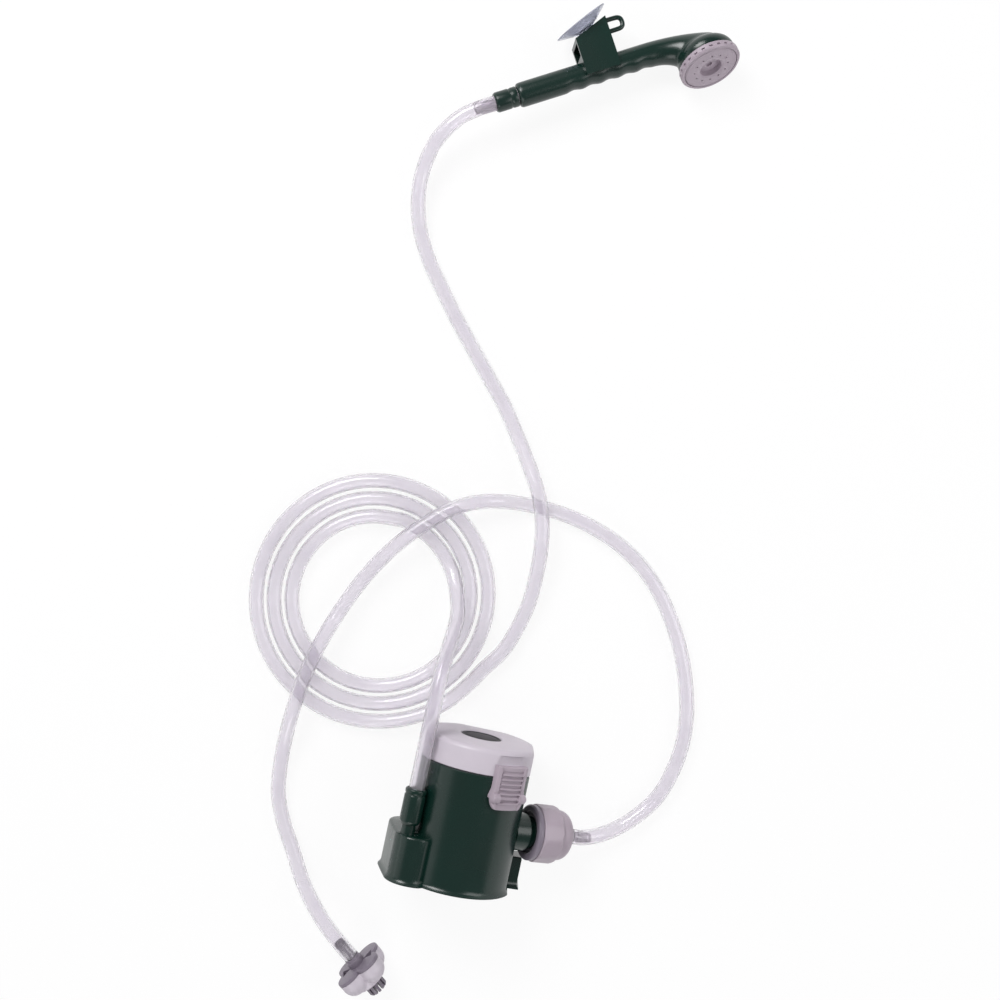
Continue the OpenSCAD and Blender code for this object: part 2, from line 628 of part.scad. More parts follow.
module spray_ring() color(pale) at_head(head_rim + gap) difference() {
  ring(spray_d / 2, spigot_r + run_gap, face_z - head_rim - gap - 0.4);
  translate([0, 0, 29 - head_rim - gap]) cylinder(r = spigot_r + 2.4, h = 10);
}
module spray_plate() color(pale) at_head(29.1) difference() {
  cylinder(r = spigot_r + 2, h = face_z - 29.1);
  translate([0, 0, 0.9]) cylinder(r = 10, h = 5);
  translate([-3, 3, -1]) cylinder(r = 2, h = 5);
  for (a = [0 : 30 : 330]) rotate(a) translate([15, 0, -1]) cylinder(r = 0.8, h = 6);
}

// Holder on the handle with its suction cup and hanging loop
holder_from = 80;
holder_to = holder_from + holder_w;
holder_low = 28;
holder_high = 39;
holder_wall = 3;
slant = atan2(holder_high - holder_low, holder_w);
cup_at = [holder_from + holder_w / 2, (holder_low + holder_high) / 2];
loop_r = 1.5;
loop_bend = 4.5;
loop_l = 12;
module holder() color(green) difference() {
  at_handset() translate([0, 0, -holder_depth / 2]) linear_extrude(holder_depth)
    polygon([[holder_from, -4], [holder_to, -4], [holder_to, holder_high], [holder_from, holder_low]]);
  at_handset() translate([0, 0, holder_wall - holder_depth / 2])
    linear_extrude(holder_depth - 2 * holder_wall) polygon([
      [holder_from - 1, handle_r + holder_wall],
      [holder_to - holder_wall, handle_r + holder_wall],
      [holder_to - holder_wall, holder_high - holder_wall - 1],
      [holder_from - 1, holder_low - holder_wall - 1]]);
  along_handle(holder_from - 1) cylinder(r = handle_r + run_gap, h = holder_w + 2);
  at_handset() translate([holder_from - 1, -30, -handle_r]) cube([holder_w + 2, 30, 2 * handle_r]);
  at_cup() translate([0, 0, -12]) cylinder(r = 3 + run_gap, h = 14);
}
module at_cup() at_handset() translate([cup_at.x, cup_at.y, 0]) rotate([0, 0, slant])
  rotate([-90, 0, 0]) children();
module cup_stud() color(steel) at_cup() {
  translate([0, 0, -holder_wall - 4]) cylinder(r = 5, h = 2.4);
  translate([0, 0, -holder_wall - 4]) cylinder(r = 3, h = holder_wall + 7);
}
module suction_cup() color(vinyl) at_cup() rotate_extrude() polygon([
  [3.06, 0.1], [7, 0.1], [7, 3], [15, 6], [cup_d / 2, 10.4], [cup_d / 2, 11.2],
  [15, 8.4], [7, 5.4], [0, 4.6], [0, 3.1], [3.06, 3.1]]);
module hang_loop() color(green) at_handset() translate([0, holder_high - 5.5, 0]) {
  for (s = [-1, 1]) translate([holder_to, s * loop_bend, 0]) rotate([0, 90, 0])
    cylinder(r = loop_r, h = loop_l);
  translate([holder_to + loop_l, 0, 0]) rotate(-90)
    rotate_extrude(angle = 180) translate([loop_bend, 0]) circle(loop_r);
}

pump_body();
base_plate();
base_screws();
volute();
impeller();
shaft_seal();
motor_shaft();
motor_can();
motor_clamp();
suction_pipe();
bulkhead();
lower_contacts();
contact_springs();
battery_cells();
lid();
lid_gasket();
upper_contacts();
switch_body();
switch_boot();
clip();
clip_pin();
outlet_spigot();
outlet_nut();
inlet_neck();
inlet_collar();
inlet_washer();
inlet_nut();
inlet_barb();
supply_hose();
hose_coil();
riser_hose();
suction_hose();
strainer_barb();
strainer_body();
strainer_grid();
handset_nut();
handset_barb();
handle();
head_seal();
spray_ring();
spray_plate();
holder();
suction_cup();
cup_stud();
hang_loop();
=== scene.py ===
# %% [markdown]
# # A camp shower pump, laid out on a table
#
# The pump lies on its back. One clear hose runs from its outlet through nearly three loops to a hand shower,
# and a second runs from its inlet to a strainer. The solids come in as a fixed frame in metres, and each step
# below dresses a piece of it. The box of the bare solids is kept, and the floor is set just under it.

# %% Load the frame
import json
import math

import bmesh
import bpy
from mathutils import Matrix, Vector
from mathutils.geometry import interpolate_bezier

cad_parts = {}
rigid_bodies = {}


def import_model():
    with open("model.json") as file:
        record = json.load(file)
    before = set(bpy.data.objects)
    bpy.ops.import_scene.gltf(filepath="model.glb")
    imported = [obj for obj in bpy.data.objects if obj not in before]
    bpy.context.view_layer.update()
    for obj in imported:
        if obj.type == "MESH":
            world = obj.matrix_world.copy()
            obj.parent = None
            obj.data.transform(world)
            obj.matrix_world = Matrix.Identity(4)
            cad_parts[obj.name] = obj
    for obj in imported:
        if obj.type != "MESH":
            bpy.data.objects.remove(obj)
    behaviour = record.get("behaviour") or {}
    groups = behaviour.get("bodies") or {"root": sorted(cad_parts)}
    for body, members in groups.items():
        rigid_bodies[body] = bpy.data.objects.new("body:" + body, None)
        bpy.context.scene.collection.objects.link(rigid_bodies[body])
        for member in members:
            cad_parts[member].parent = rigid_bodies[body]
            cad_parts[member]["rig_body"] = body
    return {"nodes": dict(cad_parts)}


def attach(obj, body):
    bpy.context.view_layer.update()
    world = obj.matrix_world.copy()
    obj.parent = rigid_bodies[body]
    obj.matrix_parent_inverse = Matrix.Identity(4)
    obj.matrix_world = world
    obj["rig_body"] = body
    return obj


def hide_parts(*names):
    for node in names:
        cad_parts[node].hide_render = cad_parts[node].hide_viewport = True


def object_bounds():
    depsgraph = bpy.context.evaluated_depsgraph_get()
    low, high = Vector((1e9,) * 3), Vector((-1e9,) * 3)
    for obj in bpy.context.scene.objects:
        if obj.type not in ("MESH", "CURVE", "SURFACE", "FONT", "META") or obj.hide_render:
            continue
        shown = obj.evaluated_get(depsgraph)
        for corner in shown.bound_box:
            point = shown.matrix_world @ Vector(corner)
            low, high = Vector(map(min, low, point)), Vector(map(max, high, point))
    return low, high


MM = 0.001
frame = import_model()
cad_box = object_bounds()
print("CAD box in mm:", [[round(x / MM) for x in corner] for corner in cad_box])

# %% [markdown]
# ## Camera
#
# The layout was photographed from straight above, a little over a metre up and with the camera rolled. The
# pump lies well below the middle of the view, which is why the camera sees the top of its lid.

# %% Camera
CAMERA_AT = Vector((-26, 257, 1150)) * MM
CAMERA_ROLL = math.radians(12)
FLOOR_WIDTH = 870 * MM
SENSOR = 36
camera_data = bpy.data.cameras.new("camera")
camera_data.sensor_width = SENSOR
camera_data.lens = SENSOR * CAMERA_AT.z / FLOOR_WIDTH
camera = bpy.data.objects.new("camera", camera_data)
camera.location = CAMERA_AT
camera.rotation_euler = (0, 0, CAMERA_ROLL)
bpy.context.scene.collection.objects.link(camera)
bpy.context.scene.camera = camera
print("lens in mm:", round(camera_data.lens, 1))

# %% [markdown]
# ## Tools for materials
#
# Colours are written as sRGB hex values, as a paint chart gives them, and one function turns them to linear
# light. A second small function adds a shader node, sets its values and links its inputs.

# %% Colour and node helpers
def linear(hex_colour):
    channels = [int(hex_colour[i:i + 2], 16) / 255 for i in (1, 3, 5)]
    return [c / 12.92 if c <= 0.04045 else ((c + 0.055) / 1.055) ** 2.4 for c in channels] + [1]


def add_node(tree, kind, settings=None, links=None):
    node = tree.nodes.new(kind)
    for name, value in (settings or {}).items():
        if name in node.inputs:
            node.inputs[name].default_value = value
        else:
            setattr(node, name, value)
    for name, source in (links or {}).items():
        tree.links.new(source, node.inputs[name])
    return node


def new_material(name):
    material = bpy.data.materials.new(name)
    material.use_nodes = True
    tree = material.node_tree
    tree.nodes.clear()
    output = add_node(tree, "ShaderNodeOutputMaterial")
    return material, tree, output


def per_metre(size_mm):
    return 1 / (size_mm * MM)

# %% [markdown]
# ## Moulded ABS
#
# The casings are injection-moulded ABS. The mould leaves a skin that is smooth but never optically flat: it
# carries a fine spark-eroded grain and a slow unevenness of gloss where the melt cooled.
# One function makes all these plastics, since only the pigment and the polish differ.

# %% Moulded plastics
GRAIN_BUMP = 0.25
GRAIN_HEIGHT = 0.04


def moulded_plastic(name, pigment, shade, roughness, grain_mm, mottle_mm=26):
    material, tree, output = new_material(name)
    place = add_node(tree, "ShaderNodeTexCoord")
    grain = add_node(tree, "ShaderNodeTexNoise", {"Scale": per_metre(grain_mm), "Detail": 3},
                     {"Vector": place.outputs["Object"]})
    mottle = add_node(tree, "ShaderNodeTexNoise", {"Scale": per_metre(mottle_mm), "Detail": 4},
                      {"Vector": place.outputs["Object"]})
    colour = add_node(tree, "ShaderNodeMix", {"data_type": "RGBA"}, {"Factor": mottle.outputs["Fac"]})
    colour.inputs[6].default_value = linear(pigment)
    colour.inputs[7].default_value = linear(shade)
    gloss = add_node(tree, "ShaderNodeMapRange", {"To Min": roughness * 0.8, "To Max": roughness * 1.25},
                     {"Value": mottle.outputs["Fac"]})
    bump = add_node(tree, "ShaderNodeBump", {"Strength": GRAIN_BUMP, "Distance": GRAIN_HEIGHT * MM},
                    {"Height": grain.outputs["Fac"]})
    skin = add_node(tree, "ShaderNodeBsdfPrincipled", {"IOR": 1.53},
                    {"Base Color": colour.outputs[2], "Roughness": gloss.outputs["Result"],
                     "Normal": bump.outputs["Normal"]})
    tree.links.new(skin.outputs["BSDF"], output.inputs["Surface"])
    return material


green_abs = moulded_plastic("green_moulded_abs", "#0a2a23", "#06201a", 0.26, 0.7)
pale_abs = moulded_plastic("pale_moulded_abs", "#cdc5ce", "#c1b9c3", 0.42, 0.7)
mauve_abs = moulded_plastic("mauve_moulded_abs", "#afa2ad", "#a295a0", 0.4, 0.7)
# Grey ABS is the real grey of collar, plug and inner fittings, and painted shade on the strainer's flange.
grey_abs_and_painted_shade = moulded_plastic("grey_moulded_abs_and_painted_shade", "#837a87", "#756c79", 0.42, 0.7)
black_rubber = moulded_plastic("black_moulded_rubber", "#26232a", "#1c1a20", 0.6, 0.9)
cell_jacket = moulded_plastic("printed_cell_jacket", "#33343c", "#2a2b33", 0.28, 1.4)
print("plastics:", [m.name for m in bpy.data.materials if "moulded" in m.name])

# %% [markdown]
# ## Nickel-plated steel
#
# Contacts, springs, screws, the motor can and the pins are plated steel. Drawing and rolling leave fine
# streaks along the part, which show as an uneven gloss more than as a colour.

# %% Plated steel
STREAK_SQUEEZE = 0.06


def plated_steel(name, tint, streak_mm):
    material, tree, output = new_material(name)
    place = add_node(tree, "ShaderNodeTexCoord")
    along = add_node(tree, "ShaderNodeMapping", {"Scale": (1, STREAK_SQUEEZE, 1)},
                     {"Vector": place.outputs["Object"]})
    streak = add_node(tree, "ShaderNodeTexNoise", {"Scale": per_metre(streak_mm), "Detail": 2},
                      {"Vector": along.outputs["Vector"]})
    gloss = add_node(tree, "ShaderNodeMapRange", {"To Min": 0.2, "To Max": 0.42},
                     {"Value": streak.outputs["Fac"]})
    skin = add_node(tree, "ShaderNodeBsdfPrincipled", {"Base Color": linear(tint), "Metallic": 1},
                    {"Roughness": gloss.outputs["Result"]})
    tree.links.new(skin.outputs["BSDF"], output.inputs["Surface"])
    return material


steel = plated_steel("nickel_plated_steel", "#c9c6c4", 0.8)

# %% [markdown]
# ## Clear vinyl
#
# Hose of plasticised PVC is clear but not like glass: fillers make it a little milky, so it takes a faint
# lilac tint where the eye looks through more of it, along the edges. It lets light through and has a soft
# gloss. The suction cup is the same vinyl, cast thicker and bluer.

# %% Vinyl
CLOUD_MM = 18


def clear_vinyl(name, tint, haze, roughness, clearness):
    material, tree, output = new_material(name)
    place = add_node(tree, "ShaderNodeTexCoord")
    cloud = add_node(tree, "ShaderNodeTexNoise", {"Scale": per_metre(CLOUD_MM), "Detail": 3},
                     {"Vector": place.outputs["Object"]})
    colour = add_node(tree, "ShaderNodeMix", {"data_type": "RGBA"}, {"Factor": cloud.outputs["Fac"]})
    colour.inputs[6].default_value = linear(tint)
    colour.inputs[7].default_value = linear(haze)
    skin = add_node(tree, "ShaderNodeBsdfPrincipled",
                    {"IOR": 1.45, "Roughness": roughness, "Transmission Weight": clearness},
                    {"Base Color": colour.outputs[2]})
    tree.links.new(skin.outputs["BSDF"], output.inputs["Surface"])
    return material


hose_vinyl = clear_vinyl("clear_hose_vinyl", "#fcfafd", "#f6f2f9", 0.18, 0.9)
cup_vinyl = clear_vinyl("cast_cup_vinyl", "#eceefa", "#e2e5f5", 0.2, 0.75)

# %% [markdown]
# ## Hoses
#
# Each hose is one length of 12.7 mm vinyl tube with a 9.5 mm bore. Its middle line goes through listed
# points:
# straight out of its fitting, down to the table, over the other hose in a low hump, and into the next
# fitting.
# The loops in the middle are an outward spiral, so a formula gives them. A bevelled curve would give a solid
# rod, so the curve is made a mesh and given its wall.

# %% Routes
HOSE_R = 12.7 / 2
HOSE_WALL = 1.6
TABLE_Z = 6.4
COIL_MIDDLE = Vector((-113, 153.2))
COIL_R = 69
COIL_STEP = 15.4
COIL_TURNS = 8 / 3
RINGS = 24


def coil_point(turns):
    angle = math.radians(90 + 360 * turns)
    reach = COIL_R + COIL_STEP * turns
    return Vector((COIL_MIDDLE.x + reach * math.cos(angle), COIL_MIDDLE.y + reach * math.sin(angle), TABLE_Z))


def heading(yaw, pitch):
    t = math.radians(yaw)
    p = math.radians(pitch)
    return Vector((math.cos(p) * math.cos(t), math.cos(p) * math.sin(t), -math.sin(p)))


coil = [coil_point(i / RINGS) for i in range(round(RINGS * COIL_TURNS) + 1)]
SHORT_STEP = 1 / RINGS / 50
coil_start = (coil_point(SHORT_STEP) - coil[0]).normalized()
coil_end = (coil[-1] - coil_point(COIL_TURNS - SHORT_STEP)).normalized()

OUTLET_HOSE = Vector((-43.5, -13, 81))
SUPPLY_RUN = [
    (-43.5, 15, 81), (-43.5, 50, 81), (-43.5, 80, 81), (-43.5, 103, 77), (-42.5, 123, 66), (-41, 140, 50),
    (-41, 156, 34), (-45.5, 171, 20), (-53, 187, 10.5), (-64, 201, 6.8), (-78, 212.3, 6.4)]
RISER_RUN = [
    (3.5, 130, 6.4), (12, 153, 6.4), (17, 176, 9), (18, 200, 14), (17, 224, 19), (13, 247, 21),
    (5, 269, 20.2), (-7, 290, 15), (-22, 313, 9.5), (-38, 336, 6.8), (-56, 357, 6.4), (-75, 379, 6.4),
    (-94, 401, 6.4), (-112, 424, 6.4), (-129, 447, 6.6), (-142, 471, 8), (-149, 497, 11.5), (-149, 523, 17),
    (-142, 547, 23.5), (-127, 567, 29)]
SUCTION_RUN = [
    (118, -7, 12.2), (133, 2, 8.6), (147, 15, 6.8), (160, 33, 6.4), (168, 55, 6.4), (172, 80, 6.4),
    (171, 106, 6.4), (165, 132, 6.4), (156, 157, 6.4), (143, 182, 6.4), (127, 205, 6.4), (107, 225, 6.4),
    (84, 240, 6.4), (59, 250, 6.4), (33, 256, 6.4), (7, 258, 6.6), (-18, 257, 10), (-42, 252, 17),
    (-63, 242, 20.2), (-82, 226, 20.2), (-99, 208, 20.2), (-114, 188, 16.5), (-127, 166, 14), (-138, 142, 15),
    (-147, 118, 18.5), (-154, 94, 20.2), (-159, 69, 20.2), (-162, 45, 19), (-164, 20, 12.5), (-164, -5, 8),
    (-161, -30, 6.6), (-152, -53, 6.6), (-138, -76, 9), (-125, -97, 13.5), (-111, -114, 18.5),
    (-95, -129, 24)]

HANDSET_AT = Vector((-100, 585, 30))
HANDSET_TURN = 30.4
HANDSET_PITCH = 3.6
STRAINER_AT = Vector((-63, -154, 25.1))
STRAINER_TURN = -39.5
STRAINER_PITCH = 8
STRAINER_HUB = 8
INLET_AT = Vector((54, -11, 40))
INLET_LEAN = 24
INLET_REACH = 42.3
STRAIGHT = 2 * HOSE_R
handset_way = heading(HANDSET_TURN, HANDSET_PITCH)
strainer_way = heading(STRAINER_TURN, STRAINER_PITCH)
inlet_way = heading(0, INLET_LEAN)
inlet_end = INLET_AT + INLET_REACH * inlet_way
strainer_end = STRAINER_AT - STRAINER_HUB * strainer_way

outlet_route = [OUTLET_HOSE, *map(Vector, SUPPLY_RUN), coil[0] - STRAIGHT * coil_start, *coil,
                coil[-1] + STRAIGHT * coil_end, *map(Vector, RISER_RUN),
                HANDSET_AT - STRAIGHT * handset_way, HANDSET_AT]
suction_route = [inlet_end, inlet_end + STRAIGHT * inlet_way, *map(Vector, SUCTION_RUN),
                 strainer_end - STRAIGHT * strainer_way, strainer_end]


# %% Smooth tubes along the routes
def smooth_line(points, steps=9):
    """Points in metres along a curve that passes through every point of the route."""
    line = []
    for i in range(len(points) - 1):
        before = points[max(i - 1, 0)]
        here = points[i]
        there = points[i + 1]
        after = points[min(i + 2, len(points) - 1)]
        span = (there - here).length
        lead = (there - before).normalized() * span / 3
        trail = (after - here).normalized() * span / 3
        piece = interpolate_bezier(here, here + lead, there - trail, there, steps)
        line += piece if not line else piece[1:]
    return [p * MM for p in line]


def rod(line, radius):
    path = bpy.data.curves.new("path", "CURVE")
    path.dimensions = "3D"
    path.twist_mode = "MINIMUM"
    path.bevel_depth = radius
    path.bevel_resolution = 14
    spline = path.splines.new("POLY")
    spline.points.add(len(line) - 1)
    for point, place in zip(spline.points, line):
        point.co = (*place, 1)
    bar = bpy.data.objects.new("bar", path)
    bpy.context.scene.collection.objects.link(bar)
    mesh = bpy.data.meshes.new_from_object(bar.evaluated_get(bpy.context.evaluated_depsgraph_get()))
    bpy.data.objects.remove(bar)
    bpy.data.curves.remove(path)
    bm = bmesh.new()
    bm.from_mesh(mesh)
    bpy.data.meshes.remove(mesh)
    bmesh.ops.remove_doubles(bm, verts=bm.verts, dist=radius / 500)
    bmesh.ops.recalc_face_normals(bm, faces=bm.faces)
    return bm


def hose(name, line):
    bm = rod(line, HOSE_R * MM)
    bmesh.ops.solidify(bm, geom=bm.faces, thickness=HOSE_WALL * MM)
    mesh = bpy.data.meshes.new(name)
    bm.to_mesh(mesh)
    bm.free()
    mesh.shade_smooth()
    mesh.materials.append(hose_vinyl)
    piece = bpy.data.objects.new(name, mesh)
    bpy.context.scene.collection.objects.link(piece)
    return piece


def length_of(line):
    return sum((b - a).length for a, b in zip(line, line[1:]))


outlet_line = smooth_line(outlet_route)
suction_line = smooth_line(suction_route)
outlet_hose = hose("outlet_hose", outlet_line)
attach(outlet_hose, "pump")
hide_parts("supply_hose", "hose_coil", "riser_hose")
suction_hose = hose("inlet_hose", suction_line)
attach(suction_hose, "pump")
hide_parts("suction_hose")
print("hose lengths in m:", round(length_of(outlet_line), 2), round(length_of(suction_line), 2))

# %% [markdown]
# ## Turned pieces
#
# Nuts, collars, barbs and the switch cover are round, so each is half a cross-section spun about its own
# axis. Moulds have no knife edges: after the spin, every ring edge that turns sharply gets a small bevel.
# A piece is drawn in millimetres on its own axis, then put in place, and it moves with the solid that it
# stands for.

# %% Helpers for new pieces
SHARP = math.radians(24)
SMOOTH_UP_TO = math.radians(38)


def spun(profile, edge=0.4, steps=72, closed=True):
    """A round shape about Z from (radius, height) corners; closed joins the last corner to the first."""
    bm = bmesh.new()
    corners = [bm.verts.new((radius, 0, height)) for radius, height in profile]
    follow = corners[1:] + corners[:1] if closed else corners[1:]
    sides = [bm.edges.new(pair) for pair in zip(corners, follow)]
    bmesh.ops.spin(bm, geom=corners + sides, cent=(0, 0, 0), axis=(0, 0, 1), angle=2 * math.pi,
                   steps=steps, use_merge=True)
    bmesh.ops.remove_doubles(bm, verts=bm.verts, dist=0.001)
    bmesh.ops.recalc_face_normals(bm, faces=bm.faces)
    round_edges(bm, edge)
    return bm


def round_edges(bm, width, segments=2):
    bm.normal_update()
    sharp = [e for e in bm.edges if e.is_manifold and e.calc_face_angle() > SHARP]
    if width and sharp:
        bmesh.ops.bevel(bm, geom=sharp, offset=width, offset_type="OFFSET", segments=segments, profile=0.5,
                        affect="EDGES", clamp_overlap=True, material=-1)


def arc(middle, radius, start, end, count):
    """Points on an arc in the (radius, height) plane, with angles in degrees."""
    angles = [math.radians(start + (end - start) * i / count) for i in range(count + 1)]
    return [(middle[0] + radius * math.cos(a), middle[1] + radius * math.sin(a)) for a in angles]


def turn(degrees, axis):
    return Matrix.Rotation(math.radians(degrees), 4, axis)


def make_piece(name, bm, place, material, slot, *nodes):
    """A finished piece from a shape in mm; place puts it in the frame, in mm."""
    bmesh.ops.transform(bm, matrix=Matrix.Scale(MM, 4) @ place, verts=bm.verts)
    bmesh.ops.recalc_face_normals(bm, faces=bm.faces)
    mesh = bpy.data.meshes.new(name)
    bm.to_mesh(mesh)
    bm.free()
    mesh.shade_smooth()
    mesh.set_sharp_from_angle(angle=SMOOTH_UP_TO)
    mesh.materials.append(material)
    piece = bpy.data.objects.new(name, mesh)
    bpy.context.scene.collection.objects.link(piece)
    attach(piece, frame["nodes"][nodes[0]]["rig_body"])
    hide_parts(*nodes)
    return piece


# %% Inlet coupling
at_inlet = Matrix.Translation(INLET_AT) @ turn(90 + INLET_LEAN, "Y")
NECK_R = 13.06
NUT_R = 24
NUT_FLAT = 23.3
NUT_FLATS = 10
nut_shoulder = arc((11.5, 27.8), 9.3, 0, 78, 8)
nut = spun([(NECK_R, 5.3), (23, 5.3), (NUT_R, 6.4), (NUT_R, 22), (23.4, 23.4), (21, 24.6), *nut_shoulder,
            (6.4, 37.2), (6.4, 16.4), (NECK_R, 16.4)], edge=0.5, steps=120)
for v in nut.verts:
    reach = v.co.xy.length
    around = math.atan2(v.co.y, v.co.x) % (2 * math.pi / NUT_FLATS) - math.pi / NUT_FLATS
    if reach > NUT_FLAT:
        v.co.xy *= min(reach, NUT_FLAT / math.cos(around)) / reach
make_piece("inlet_nut_grip", nut, at_inlet, mauve_abs, "pale_plastic", "inlet_nut")
collar = spun([(NECK_R + 0.1, 2.5), (17, 2.5), (17, 0.6), (18, 0), (21.4, 0), (23, 1.4), (23, 4.9),
               (NECK_R + 0.1, 4.9)])
make_piece("inlet_collar_ring", collar, at_inlet, grey_abs_and_painted_shade, "grey_plastic", "inlet_collar")


def barb_profile(start, count, outer, inner, pitch=4.4):
    """Saw teeth along a hose barb, the steep side of each towards the fitting."""
    teeth = []
    for i in range(count):
        teeth += [(inner, start + i * pitch), (outer, start + i * pitch + 0.5)]
    return teeth + [(inner, start + count * pitch)]


BARB_BORE = 3.15
BARB_TOOTH = 4.66
BARB_ROOT = 4.05
TAIL_R = 6.25
inlet_tail = spun([(BARB_BORE, 12), (12.7, 12), (12.7, 15), (TAIL_R, 15), (TAIL_R, 42.2),
                   *barb_profile(42.3, 4, BARB_TOOTH, BARB_ROOT), (BARB_BORE, 60.2)], edge=0.15)
make_piece("inlet_hose_tail", inlet_tail, at_inlet, pale_abs, "pale_plastic", "inlet_barb")

# %% Outlet nut and the hand shower's hose nut
OUTLET_NUT_Y = -14
outlet_place = Matrix.Translation((OUTLET_HOSE.x, OUTLET_NUT_Y, OUTLET_HOSE.z)) @ turn(-90, "X")
outlet_grip = spun([(6.8, 0), (7.2, 0), (8.7, 2.6), (8.7, 23.4), (8.1, 24), (8.1, 25), (8.7, 25.6), (8.7, 28),
                    (7.8, 29), (6.8, 29)], edge=0.3)
make_piece("outlet_nut_grip", outlet_grip, outlet_place, green_abs, "green_plastic", "outlet_nut")
at_handset = Matrix.Translation(HANDSET_AT) @ turn(HANDSET_TURN, "Z") @ turn(HANDSET_PITCH, "Y")
along_handle = at_handset @ turn(90, "Y")
hose_nut = spun([(6.4, 0), (7.5, 0), (8.5, 1.8), (8.5, 12.6), (8, 13.2), (8, 14.4), (8.5, 15), (8.5, 19.6),
                 (6.4, 19.6)], edge=0.3)
make_piece("hose_nut_grip", hose_nut, along_handle, green_abs, "green_plastic", "handset_nut")

# %% Switch cover
AXIS_Z = 44
along_pump = Matrix.Translation((0, 0, AXIS_Z)) @ turn(-90, "X")
cover = spun([(0, 60.9), (9, 60.8), (12.6, 60.4), (13.4, 59.9), (14.4, 59.9), (15.2, 60.6), (16.2, 60.7),
              (17, 60), (17, 58.9), (3, 58.9), (3, 51.2), (0, 51.2)], edge=0.2, closed=False)
make_piece("switch_cover", cover, along_pump, black_rubber, "black_rubber", "switch_boot")

# %% [markdown]
# ## Hand shower
#
# Handle, goose neck and head are one moulding with no hard line between them. Bar, neck and dome are made as
# closed shapes that overlap, a voxel remesh melts them into one skin, and a few rounds of smoothing let the
# neck flow into the dome. The finger grips are then pressed into the underside as a row of shallow waves.

# %% Joining, carving and melting shapes
def joined(shapes):
    bm = bmesh.new()
    for shape in shapes:
        part = bpy.data.meshes.new("part")
        shape.to_mesh(part)
        bm.from_mesh(part)
        bpy.data.meshes.remove(part)
        shape.free()
    return bm


def blank_of(bm):
    mesh = bpy.data.meshes.new("blank")
    bm.to_mesh(mesh)
    bm.free()
    blank = bpy.data.objects.new("blank", mesh)
    bpy.context.scene.collection.objects.link(blank)
    return blank


def worked(blank, *tools):
    """The shape that a blank's modifiers leave; the blank and its tools go."""
    mesh = bpy.data.meshes.new_from_object(blank.evaluated_get(bpy.context.evaluated_depsgraph_get()))
    for used in (blank, *tools):
        bpy.data.meshes.remove(used.data)
    bm = bmesh.new()
    bm.from_mesh(mesh)
    bpy.data.meshes.remove(mesh)
    return bm


def carved(shape, cutters):
    blank = blank_of(shape)
    tool = blank_of(joined(cutters))
    cut = blank.modifiers.new("cut", "BOOLEAN")
    cut.operation = "DIFFERENCE"
    cut.solver = "EXACT"
    cut.use_self = True
    cut.object = tool
    return worked(blank, tool)


def melted(shapes, voxel, rounds):
    blank = blank_of(joined(shapes))
    remesh = blank.modifiers.new("skin", "REMESH")
    remesh.mode = "VOXEL"
    remesh.voxel_size = voxel
    bm = worked(blank)
    for _ in range(rounds):
        bmesh.ops.smooth_vert(bm, verts=bm.verts, factor=0.5, use_axis_x=True, use_axis_y=True,
                              use_axis_z=True)
    return bm


def ball(place, radius):
    bm = bmesh.new()
    bmesh.ops.create_uvsphere(bm, u_segments=48, v_segments=32, radius=radius, matrix=place)
    return bm


def cut_flat(bm, point, normal):
    """Cuts away what lies beyond a plane, and closes the cut."""
    cut = bmesh.ops.bisect_plane(bm, geom=bm.verts[:] + bm.edges[:] + bm.faces[:], plane_co=point,
                                 plane_no=normal, clear_outer=True)
    rim = [g for g in cut["geom_cut"] if isinstance(g, bmesh.types.BMEdge)]
    bmesh.ops.edgeloop_fill(bm, edges=rim)


def verts_in(geometry):
    return [g for g in geometry if isinstance(g, bmesh.types.BMVert)]


def press(bm, face, way):
    """Sinks a face into a shape, with walls round it."""
    pressed = bmesh.ops.extrude_face_region(bm, geom=[face])["geom"]
    bmesh.ops.translate(bm, vec=way, verts=verts_in(pressed))
    bmesh.ops.delete(bm, geom=[face], context="FACES_ONLY")


def bearing(face):
    middle = face.calc_center_median()
    return math.atan2(middle.y, middle.x)


# %% Handle and head
HANDLE_R = 10.5
HANDLE_FROM = 20.3
NECK_FROM = 140
NECK_MIDDLE = Vector((168, -1, 0))
NECK_TO = Vector((184, -18, 5))
NECK_SWELL = 10
HEAD_AT = 183
FACE_ROLL = 20
HEAD_RIM = 24
DOME_R = 25.3
DOME_Z = 20.3
DOME_DEPTH = 15
head_turn = Matrix.Translation((HEAD_AT, 0, 0)) @ turn(90 - FACE_ROLL, "X")
bar = spun([(0, HANDLE_FROM), (9.6, HANDLE_FROM), (HANDLE_R, 21.6), (HANDLE_R, NECK_FROM), (0, NECK_FROM)],
           closed=False)
bmesh.ops.transform(bar, matrix=turn(90, "Y"), verts=bar.verts)
BEADS = 24
beads = []
neck_start = Vector((NECK_FROM, 0, 0))
for i in range(BEADS + 1):
    t = i / BEADS
    middle = neck_start * (1 - t) ** 2 + NECK_MIDDLE * 2 * t * (1 - t) + NECK_TO * t * t
    beads.append(ball(Matrix.Translation(middle), HANDLE_R + NECK_SWELL * t * t))
flat = Matrix.Diagonal((1, 1, DOME_DEPTH / DOME_R, 1))
dome = ball(head_turn @ Matrix.Translation((0, 0, DOME_Z)) @ flat, DOME_R)
handle = melted([bar, *beads, dome], 0.9, 16)
cut_flat(handle, head_turn @ Vector((0, 0, HEAD_RIM)), head_turn.to_3x3() @ Vector((0, 0, 1)))
GRIP_FROM = 60
GRIP_TO = 140
GRIP_PITCH = 16
GRIP_DEPTH = 1.3
for v in handle.verts:
    under = max(-v.co.y / HANDLE_R, 0)
    if GRIP_FROM < v.co.x < GRIP_TO:
        v.co.y += GRIP_DEPTH * under * (0.5 - 0.5 * math.cos(2 * math.pi * (v.co.x - GRIP_FROM) / GRIP_PITCH))
